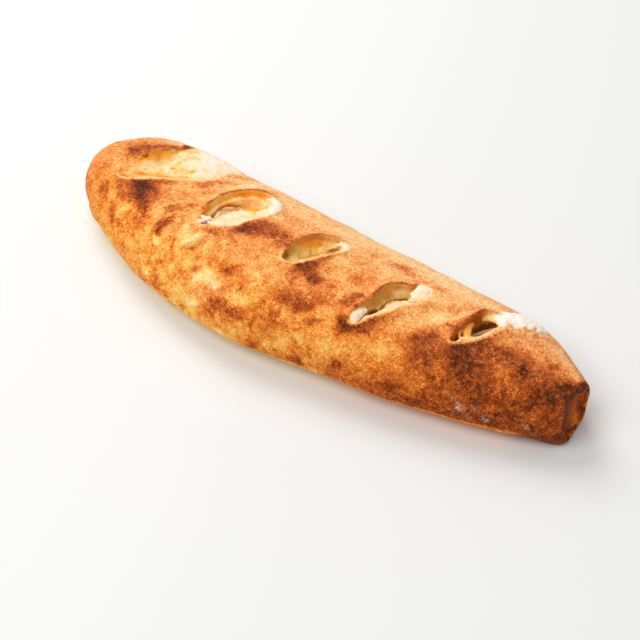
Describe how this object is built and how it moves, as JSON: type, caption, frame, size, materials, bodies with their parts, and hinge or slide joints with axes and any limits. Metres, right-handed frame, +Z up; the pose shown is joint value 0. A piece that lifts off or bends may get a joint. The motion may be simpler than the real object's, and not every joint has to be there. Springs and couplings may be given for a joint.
{
  "type": "stromboli",
  "caption": "Long baked stromboli: a rolled loaf of browned pizza dough, round at one end and folded shut at the other, with slanting vents on top that show melted cheese.",
  "frame": {"origin": "on the flat underside, in the middle of the loaf's bounding box", "axes": "+X along the loaf towards the folded end, +Y across it, +Z up"},
  "size_m": [0.3939, 0.1284, 0.0532],
  "materials": {
    "crust": "matt baked dough, golden to dark brown, with flour dust",
    "filling": "soft pale dough and melted cheese with a little oil"
  },
  "bodies": {
    "root": {"crust": "crust", "filling": "filling"}
  },
  "joints": []
}
